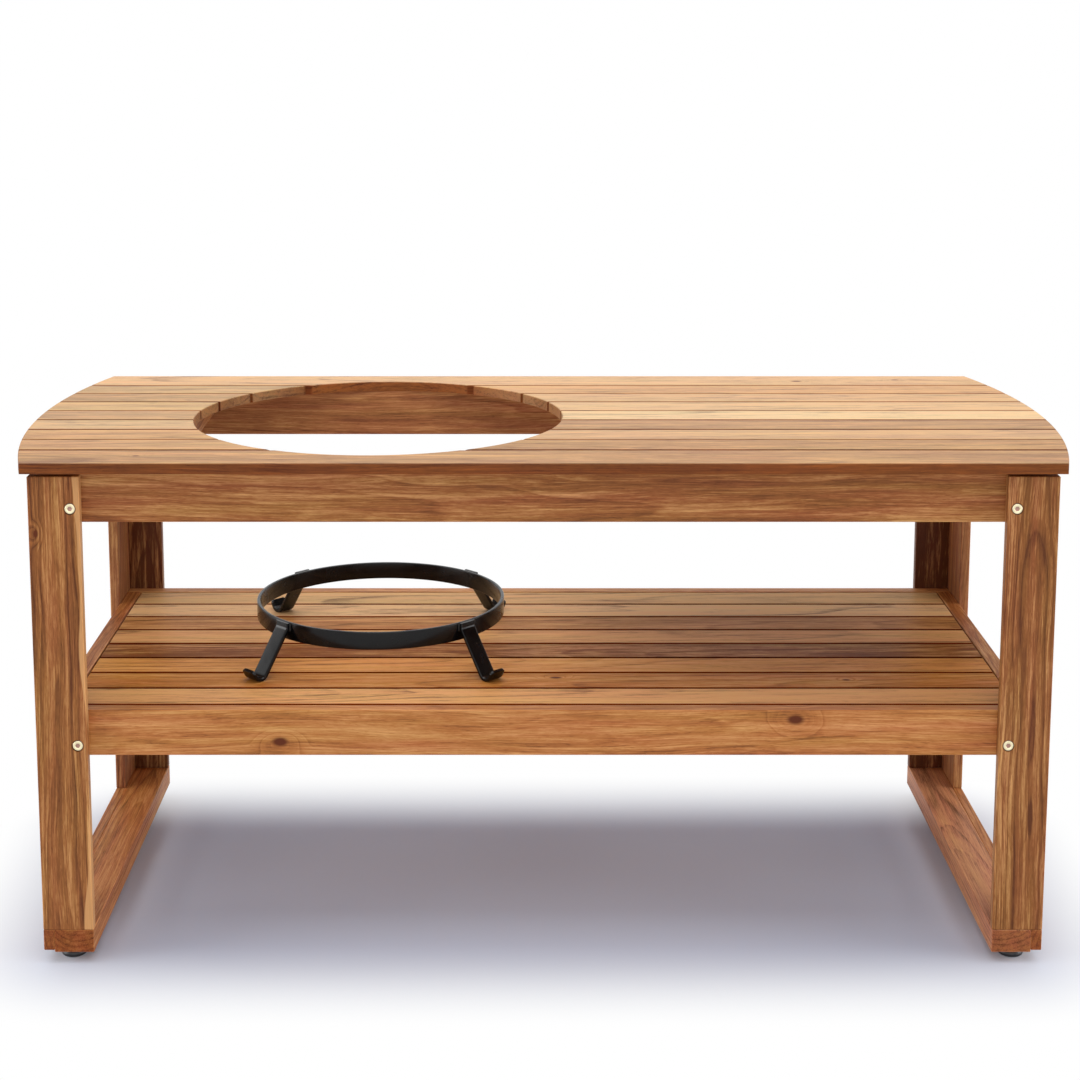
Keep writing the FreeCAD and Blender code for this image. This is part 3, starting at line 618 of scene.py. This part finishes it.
def zinc(fittings, name, face=None):
    """Mild steel, zinc plated and passivated yellow: a soft metal sheen, pale yellow drift, fine rub marks.

    face is how far in mm the bolt heads' faces lie from the frame's XZ plane: painted shade darkens what
    lies deeper, the sockets and the sides of the heads.
    """
    material, add = new_material(name)
    place = add("TexCoord")
    scaled = add("VectorMath", {0: (place, "Object"), "Scale": 1 / MM}, operation="SCALE")
    drift = add("TexNoise", {"Vector": (scaled, 0), "Scale": 0.35, "Detail": 3.0})
    tint = add("Mix", {"Factor": (drift, "Fac"), 6: fittings.zinc, 7: linear("#f3ebcd")}, data_type="RGBA")
    rubs = add("TexNoise", {"Vector": (scaled, 0), "Scale": 2.5, "Detail": 4.0})
    dull = add("MapRange", {0: (rubs, "Fac"), "From Min": 0.3, "From Max": 0.7,
                            "To Min": 0.28, "To Max": 0.46})
    colour = (tint, 2)
    # Painted shade on what lies deeper than the face: the sockets and the sides of the heads
    if face:
        split = add("SeparateXYZ", {0: (scaled, 0)})
        out = add("Math", {0: (split, "Y")}, operation="ABSOLUTE")
        recess_shade = add("MapRange", {0: (out, 0), "From Min": face - 0.15, "From Max": face - 0.75})
        colour = (add("Mix", {"Factor": (recess_shade, 0), 6: colour, 7: linear("#a9857a")}, data_type="RGBA"), 2)
    shader = add("BsdfPrincipled", {"Base Color": colour, "Metallic": 1.0, "Roughness": (dull, 0)})
    add("OutputMaterial", {"Surface": (shader, "BSDF")})
    return material


def enamel(fittings):
    """Steel strip, formed, welded and dipped in black enamel: deep gloss with a faint orange-peel ripple."""
    material, add = new_material("black_enamelled_steel")
    place = add("TexCoord")
    scaled = add("VectorMath", {0: (place, "Object"), "Scale": 1 / MM}, operation="SCALE")
    peel = add("TexNoise", {"Vector": (scaled, 0), "Scale": 0.45})
    dust = add("TexNoise", {"Vector": (scaled, 0), "Scale": 0.04, "Detail": 4.0})
    dull = add("MapRange", {0: (dust, "Fac"), "From Min": 0.35, "From Max": 0.7,
                            "To Min": 0.16, "To Max": 0.30})
    bump = add("Bump", {"Height": (peel, "Fac"), "Strength": 0.12, "Distance": 0.2 * MM})
    shader = add("BsdfPrincipled", {"Base Color": fittings.enamel, "Roughness": (dull, 0),
                                    "Normal": (bump, "Normal"), "IOR": 1.45, "Specular IOR Level": 0.25,
                                    "Coat Weight": 0.1, "Coat Roughness": 0.06})
    add("OutputMaterial", {"Surface": (shader, "BSDF")})
    return material


def moulded_nylon(fittings):
    """Nylon, injection moulded in black: a fine spark-eroded grain that keeps it matt."""
    material, add = new_material("moulded_black_nylon")
    place = add("TexCoord")
    scaled = add("VectorMath", {0: (place, "Object"), "Scale": 1 / MM}, operation="SCALE")
    grit = add("TexNoise", {"Vector": (scaled, 0), "Scale": 3.0})
    tint = add("Mix", {"Factor": (grit, "Fac"), 6: fittings.nylon, 7: linear("#26262a")}, data_type="RGBA")
    bump = add("Bump", {"Height": (grit, "Fac"), "Strength": 0.3, "Distance": 0.08 * MM})
    shader = add("BsdfPrincipled", {"Base Color": (tint, 2), "Roughness": 0.42,
                                    "Normal": (bump, "Normal"), "IOR": 1.53})
    add("OutputMaterial", {"Surface": (shader, "BSDF")})
    return material


def plated_steel(fittings):
    """The plated steel of nuts, screws and inserts, made the first time it is asked for."""
    return bpy.data.materials.get("zinc_plated_steel") or zinc(fittings, "zinc_plated_steel")


# Stage

def seen_share(add):
    """1 for what the eye, mirrors and glass see, 0 for the light that falls on the table."""
    path = add("LightPath")
    mirror = add("Math", {0: (path, "Is Camera Ray"), 1: (path, "Is Glossy Ray")}, operation="MAXIMUM")
    return add("Math", {0: (mirror, 0), 1: (path, "Is Transmission Ray")}, operation="MAXIMUM")


def floor(stage):
    """A floor in rolled matt paint, 24 m square and a hair under the feet, that keeps the table's shadow and
    has a painted shadow, in the shade colour, under the table.
    """
    side = np.linspace(-12, 12, 13)
    x, y = np.meshgrid(side, side)
    points = np.stack([x.ravel(), y.ravel(), np.full(x.size, -0.0002)], axis=1)
    index = np.arange(x.size).reshape(x.shape)
    quads = np.stack([index[:-1, :-1], index[:-1, 1:], index[1:, 1:], index[1:, :-1]], axis=-1)
    mesh = bpy.data.meshes.new("floor")
    mesh.from_pydata(points.tolist(), [], quads.reshape(-1, 4).tolist())
    in_scene("floor", mesh)
    material, add = new_material("matt_floor_paint")
    seen = seen_share(add)
    # As the camera sees it, the floor takes the shade colour, a painted shadow darker and cooler than the
    # colour it throws on the table
    tint = add("Mix", {"Factor": (seen, 0), 6: stage.floor, 7: stage.shade}, data_type="RGBA")
    matt = add("BsdfDiffuse", {"Color": (tint, 2)})
    white = add("Emission", {"Color": (1, 1, 1, 1), "Strength": 1.0})
    # The painted shadow under the table gives way to plain white, over the width of a hand or two: the
    # distance from the painted patch is the length of max(|place + forward| - half_patch, 0)
    forward, half_patch, band = (0, 0.05, 0), (0.63, 0.20, 0), 0.25
    place = add("TexCoord")
    moved = add("VectorMath", {0: (place, "Object"), 1: forward}, operation="ADD")
    folded = add("VectorMath", {0: (moved, 0)}, operation="ABSOLUTE")
    beyond = add("VectorMath", {0: (folded, 0), 1: half_patch}, operation="SUBTRACT")
    outside = add("VectorMath", {0: (beyond, 0), 1: (0, 0, 0)}, operation="MAXIMUM")
    flat = add("VectorMath", {0: (outside, 0), 1: (1, 1, 0)}, operation="MULTIPLY")
    far = add("VectorMath", {0: (flat, 0)}, operation="LENGTH")
    fade = add("MapRange", {0: (far, "Value"), "From Max": band}, interpolation_type="SMOOTHSTEP")
    share = add("Math", {0: (fade, 0), 1: (seen, 0)}, operation="MULTIPLY")
    both = add("MixShader", {0: (share, 0), 1: (matt, 0), 2: (white, 0)})
    add("OutputMaterial", {"Surface": (both, 0)})
    mesh.materials.append(material)


def sky(scene, stage):
    """Slightly cool light from the studio's walls and from overhead, seen as a white backdrop."""
    world = bpy.data.worlds.new("studio")
    world.use_nodes = True
    scene.world = world
    world.node_tree.nodes.clear()
    add = partial(add_node, world.node_tree)
    seen = seen_share(add)
    place = add("TexCoord")
    up = add("SeparateXYZ", {0: (place, "Generated")})
    wall = add("MapRange", {0: (up, "Z"), "From Min": 0.05, "From Max": 0.42, "To Min": stage.wall_light,
                            "To Max": stage.sky_light}, interpolation_type="SMOOTHSTEP")
    cool = add("Background", {"Color": linear("#d3ddff"), "Strength": (wall, 0)})
    white = add("Background", {"Color": (1, 1, 1, 1), "Strength": 1.0})
    both = add("MixShader", {0: (seen, 0), 1: (cool, 0), 2: (white, 0)})
    add("OutputWorld", {"Surface": (both, 0)})


def softbox(name, place, target, size, power, mirrored=True):
    """A rectangular area lamp that points at a target and may show in glossy surfaces."""
    lamp = bpy.data.lights.new(name, "AREA")
    lamp.shape = "RECTANGLE"
    lamp.size, lamp.size_y = size
    lamp.energy = power
    box = in_scene(name, lamp)
    box.location = place
    aim = np.subtract(target, place)
    box.rotation_euler = (math.atan2(math.hypot(aim[0], aim[1]), -aim[2]), 0, math.atan2(-aim[0], aim[1]))
    box.visible_camera = False
    box.visible_glossy = mirrored


def camera(scene):
    """The photograph's viewpoint, looking slightly down, with the rest of the fall taken by the shift."""
    lens = bpy.data.cameras.new("camera")
    lens.lens = CAMERA_LENS
    lens.shift_x, lens.shift_y = CAMERA_SHIFT
    scene.camera = in_scene("camera", lens)
    scene.camera.location = CAMERA_PLACE
    scene.camera.rotation_euler = (math.radians(90 - CAMERA_PITCH), 0, 0)


# Settings

def colour_setting(name, description, code):
    """A setting that holds a colour, with a hex code for its default."""
    return FloatVectorProperty(name=name, description=description, default=linear(code), subtype="COLOR",
                               size=4, min=0, max=1)


def power_setting(name, place, power):
    """A setting that holds the power of a softbox."""
    return FloatProperty(name=name, description=f"Power of the softbox {place}", default=power,
                         min=0, max=1000, subtype="POWER")


class GrillTableWood(bpy.types.PropertyGroup):
    """Colours and grain of the acacia."""
    heart: colour_setting("Heart", "Darkest bands of the heartwood", "#4f2814")
    gold: colour_setting("Gold", "Palest bands of the heartwood", "#dba566")
    sap: colour_setting("Sapwood", "Pale wood from under the bark", "#cf9a62")
    knot: colour_setting("Knot", "Cut branches", "#5b2a12")
    fibre_width: FloatProperty(name="Fibre width", description="Width of a streak in millimetres",
                               default=1.6, min=0.2, max=6)
    fibre_length: FloatProperty(name="Fibre length", description="Length of a streak in millimetres",
                                default=85, min=10, max=400)
    roughness: FloatProperty(name="Roughness", description="How dull the oil leaves it",
                             default=0.46, min=0, max=1, subtype="FACTOR")


class GrillTableFittings(bpy.types.PropertyGroup):
    """Finishes and sizes of the metal and plastic parts."""
    zinc: colour_setting("Zinc", "Yellow-passivated zinc plate", "#dccca0")
    enamel: colour_setting("Enamel", "Black enamel of the cradle", "#070708")
    nylon: colour_setting("Nylon", "Black plastic of the levelling feet", "#141416")
    thread_pitch: FloatProperty(name="Thread pitch", description="Pitch of the foot's thread in millimetres",
                                default=1.25, min=0.5, max=3)
    bead_size: FloatProperty(name="Weld bead", description="Radius of the weld beads in millimetres",
                             default=2.4, min=0.5, max=5)


class GrillTableStage(bpy.types.PropertyGroup):
    """Floor and lamps."""
    floor: colour_setting("Floor", "Colour that the floor throws on the table", "#f4f4f6")
    # Shade is a painted shadow: the floor under the table is seen in this darker, cooler colour
    shade: colour_setting("Shade", "Cool colour of the floor under the table, as it is seen", "#bcc1ce")
    sky_light: FloatProperty(name="Sky light", description="Light that comes from overhead",
                             default=0.3, min=0, max=3)
    wall_light: FloatProperty(name="Wall light", description="Light that comes in level from the walls",
                              default=0.3, min=0, max=5)
    top_light: power_setting("Top light", "over the table", 130)
    key_light: power_setting("Key light", "high in front", 25)
    front_light: power_setting("Front light", "low in front", 24)
    side_light: power_setting("Side light", "on either side", 50)
    back_light: power_setting("Back light", "behind", 40)


# Pieces

class GRILLTABLE_OT_top(bpy.types.Operator):
    """Oil the slats of the top and their battens"""
    bl_idname = "grill_table.top"
    bl_label = "Top"

    def execute(self, context):
        dress_boards(top_boards(), context.scene.grill_table_wood, 1)
        return {"FINISHED"}


class GRILLTABLE_OT_frame(bpy.types.Operator):
    """Oil the legs, rails and floor runners"""
    bl_idname = "grill_table.frame"
    bl_label = "Frame"

    def execute(self, context):
        dress_boards(frame_boards(), context.scene.grill_table_wood, 31)
        return {"FINISHED"}


class GRILLTABLE_OT_shelf(bpy.types.Operator):
    """Oil the slats of the shelf and what carries them"""
    bl_idname = "grill_table.shelf"
    bl_label = "Shelf"

    def execute(self, context):
        dress_boards(shelf_boards(), context.scene.grill_table_wood, 61)
        return {"FINISHED"}


class GRILLTABLE_OT_bolts(bpy.types.Operator):
    """Make the joint bolts, with hexagon sockets in their flat heads"""
    bl_idname = "grill_table.bolts"
    bl_label = "Joint bolts"

    def execute(self, context):
        length = HEAD_HEIGHT + SHANK_LENGTH
        head = socket_head(HEAD_RADIUS, HEAD_HEIGHT, rim=1.3, depth=2.2)
        shank = lathe([(3.0, -HEAD_HEIGHT), (3.0, 0.6 - length), (2.4, -length), (0, -length)], HEAD_COLUMNS)
        bolt = np.concatenate([head, shank])
        face = BOLT_BOX[1].y
        grids = [placed(bolt, (x, end * face, z), (0, end, 0)) for x, end, z in joint_places()]
        plated = zinc(context.scene.grill_table_fittings, "zinc_plated_bolts", face / MM)
        finish_piece(surface("socket_bolts", grids), "table", plated, "zinc_plated_steel", "joint_bolts")
        return {"FINISHED"}


class GRILLTABLE_OT_nuts(bpy.types.Operator):
    """Make the sleeve nuts behind the rails, with hexagon sockets in their flanges"""
    bl_idname = "grill_table.nuts"
    bl_label = "Sleeve nuts"

    def execute(self, context):
        length = FLANGE_HEIGHT + BARREL_LENGTH
        flange = socket_head(7.5, FLANGE_HEIGHT, rim=0.4, depth=1.0)
        barrel = lathe([(4.5, -FLANGE_HEIGHT), (4.5, 0.5 - length), (4.1, -length), (3.1, -length),
                        (3.05, -3.0), (0, -3.0)], HEAD_COLUMNS)
        nut = np.concatenate([flange, barrel])
        face = NUT_BOX[1].y - length * MM
        grids = [placed(nut, (x, end * face, z), (0, -end, 0)) for x, end, z in joint_places()]
        plated = plated_steel(context.scene.grill_table_fittings)
        nuts = surface("flanged_sleeve_nuts", grids)
        finish_piece(nuts, "table", plated, "zinc_plated_steel", "sleeve_nuts")
        return {"FINISHED"}


class GRILLTABLE_OT_screws(bpy.types.Operator):
    """Drive the wood screws up through the battens into the slats"""
    bl_idname = "grill_table.screws"
    bl_label = "Batten screws"

    def execute(self, context):
        head = cross_head(radius=4.0, height=2.3, depth=1.3)
        grids = []
        for batten in ("top_left", "top_middle", "top_right", "shelf_left", "shelf_right"):
            low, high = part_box(f"{batten}_batten")
            pitch, rows = SLAT_ROWS[batten.split("_")[0]]
            for y in (np.arange(rows) - (rows - 1) / 2) * pitch * MM:
                grids.append(placed(head, ((low.x + high.x) / 2, y, low.z), (0, 0, -1)))
        plated = plated_steel(context.scene.grill_table_fittings)
        finish_piece(surface("batten_screws", grids), "table", plated, "zinc_plated_steel")
        return {"FINISHED"}


class GRILLTABLE_OT_feet(bpy.types.Operator):
    """Mould the levelling feet with their threaded stems, and press in the inserts they turn in"""
    bl_idname = "grill_table.feet"
    bl_label = "Levelling feet"

    def execute(self, context):
        fittings = context.scene.grill_table_fittings
        nylon = moulded_nylon(fittings)
        columns = 64
        # From the hollow of the sole round the pad's edge, over its dome and up the neck to the stem
        profile = [(0, 0.8), (9, 0.8), (9.6, 0.0), (14.6, 0.0)] + arc((14.6, 3.3), 3.3, -90, 0, 7)
        profile += [(17.9, 4.6), (18.0, 4.8), (17.9, 5.0)] + arc((9.6, 3.2), 8.3, 13, 78, 12)
        profile += [(9.6, 12.6), (8.9, 13.4), (8.9, 16.4), (8.4, PAD_HEIGHT), (4.2, PAD_HEIGHT)]
        pad = lathe(profile, columns)
        # A steel sleeve with a bevelled mouth, one round each stem
        sleeve = lathe([(4.6, INSERT_LENGTH), (4.15, 26.5), (4.15, 0.5), (4.6, 0.0), (5.6, 0.0), (6.0, 0.4),
                        (6.0, 26.6), (5.6, INSERT_LENGTH), (4.6, INSERT_LENGTH)])
        sleeves = []
        for end, side in CORNERS:
            node = f"{end}_{side}_levelling_foot"
            low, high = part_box(node)
            x, y = (low.x + high.x) / 2, (low.y + high.y) / 2
            top = (high.z - low.z) / MM
            stem = thread(STEM_RADIUS, fittings.thread_pitch, THREAD_DEPTH, PAD_HEIGHT, top - 0.6, columns)
            tip = lathe([(3.0, top), (0, top)], columns)
            foot = placed(np.concatenate([pad, stem, tip]), (x, y, low.z))
            finish_piece(surface(f"{end}_{side}_foot", [foot]), f"{node}_body", nylon, "foot_plastic", node)
            sleeves.append(placed(sleeve, (x, y, INSERT_BOX[0].z)))
        finish_piece(surface("stem_inserts", sleeves), "table", plated_steel(fittings), "zinc_plated_steel",
                     "foot_inserts")
        return {"FINISHED"}


class GRILLTABLE_OT_cradle(bpy.types.Operator):
    """Roll the cradle's ring, bend its four strap legs and weld them on"""
    bl_idname = "grill_table.cradle"
    bl_label = "Cradle"

    def execute(self, context):
        fittings = context.scene.grill_table_fittings
        black = enamel(fittings)
        middle = np.array([(RING_BOX[0].x + RING_BOX[1].x) / 2, (RING_BOX[0].y + RING_BOX[1].y) / 2, 0])
        outer = (RING_BOX[1].x - RING_BOX[0].x) / 2 / MM
        low, high = RING_BOX[0].z / MM, RING_BOX[1].z / MM
        band = rounded_bar((outer - STRAP_THICKNESS / 2, (low + high) / 2), STRAP_THICKNESS, high - low, 1.2)
        ring = lathe(band, 320) + middle
        finish_piece(surface("ring", [ring]), "grill_cradle", black, "black_steel", "cradle_ring")
        lifted = middle + np.array([0, 0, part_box("cradle_legs")[0].z])
        straps, beads = [], []
        for quarter in range(4):
            turn = math.radians(45 + 90 * quarter)
            straps.append(turned_about(strap(), turn) + lifted)
            for side in (-1, 1):
                beads.append(turned_about(bead(outer, side, fittings.bead_size), turn) + lifted)
        finish_piece(surface("strap_legs", straps), "grill_cradle", black, "black_steel", "cradle_legs")
        finish_piece(surface("weld_beads", beads, angle=80), "grill_cradle", black, "black_steel")
        return {"FINISHED"}


class GRILLTABLE_OT_stage(bpy.types.Operator):
    """Set up the floor, the lamps and the camera"""
    bl_idname = "grill_table.stage"
    bl_label = "Stage"

    def execute(self, context):
        stage = context.scene.grill_table_stage
        floor(stage)
        sky(context.scene, stage)
        softbox("top_softbox", (0, 0, 3.2), (0, 0, 0), (5.6, 3.6), stage.top_light)
        softbox("key_softbox", (0.2, -2.4, 3.2), (0, 0, 0.5), (2.4, 1.6), stage.key_light)
        softbox("front_softbox", (0, -4.2, 1.2), (0, 0, 0.5), (3.4, 1.6), stage.front_light)
        softbox("left_softbox", (-3.1, -0.4, 0.8), (0, 0, 0.3), (2.4, 1.5), stage.side_light)
        softbox("right_softbox", (3.1, -0.4, 0.8), (0, 0, 0.3), (2.4, 1.5), stage.side_light)
        # The box behind lights the back and the shelf without laying its sheen over the wood
        softbox("back_softbox", (0, 3.6, 1.9), (0, 0, 0.4), (2.8, 1.4), stage.back_light,
                mirrored=False)
        camera(context.scene)
        context.scene.view_settings.view_transform = "Standard"
        return {"FINISHED"}


class GRILLTABLE_PT_panel(bpy.types.Panel):
    """Lists the table's settings and pieces"""
    bl_idname = "GRILLTABLE_PT_panel"
    bl_label = "Grill table"
    bl_space_type = "VIEW_3D"
    bl_region_type = "UI"
    bl_category = "Grill table"

    def draw(self, context):
        for name in SETTINGS:
            group = getattr(context.scene, name)
            box = self.layout.box()
            for setting in group.__annotations__:
                box.prop(group, setting)
        for operator in OPERATORS:
            self.layout.operator(operator.bl_idname)


SETTINGS = {"grill_table_wood": GrillTableWood, "grill_table_fittings": GrillTableFittings,
            "grill_table_stage": GrillTableStage}
OPERATORS = (GRILLTABLE_OT_top, GRILLTABLE_OT_frame, GRILLTABLE_OT_shelf, GRILLTABLE_OT_bolts,
             GRILLTABLE_OT_nuts, GRILLTABLE_OT_screws, GRILLTABLE_OT_feet, GRILLTABLE_OT_cradle,
             GRILLTABLE_OT_stage)


def register():
    """Register the settings, the operators and the panel."""
    for name, group in SETTINGS.items():
        bpy.utils.register_class(group)
        setattr(bpy.types.Scene, name, PointerProperty(type=group))
    for kind in OPERATORS + (GRILLTABLE_PT_panel,):
        bpy.utils.register_class(kind)


def unregister():
    """Remove the panel, the operators and the settings."""
    for kind in reversed(OPERATORS + (GRILLTABLE_PT_panel,)):
        bpy.utils.unregister_class(kind)
    for name, group in SETTINGS.items():
        delattr(bpy.types.Scene, name)
        bpy.utils.unregister_class(group)


def main():
    """Make every piece."""
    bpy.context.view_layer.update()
    register()
    bpy.ops.grill_table.top()
    bpy.ops.grill_table.frame()
    bpy.ops.grill_table.shelf()
    bpy.ops.grill_table.bolts()
    bpy.ops.grill_table.nuts()
    bpy.ops.grill_table.screws()
    bpy.ops.grill_table.feet()
    bpy.ops.grill_table.cradle()
    bpy.ops.grill_table.stage()


if __name__ == "__main__":
    main()
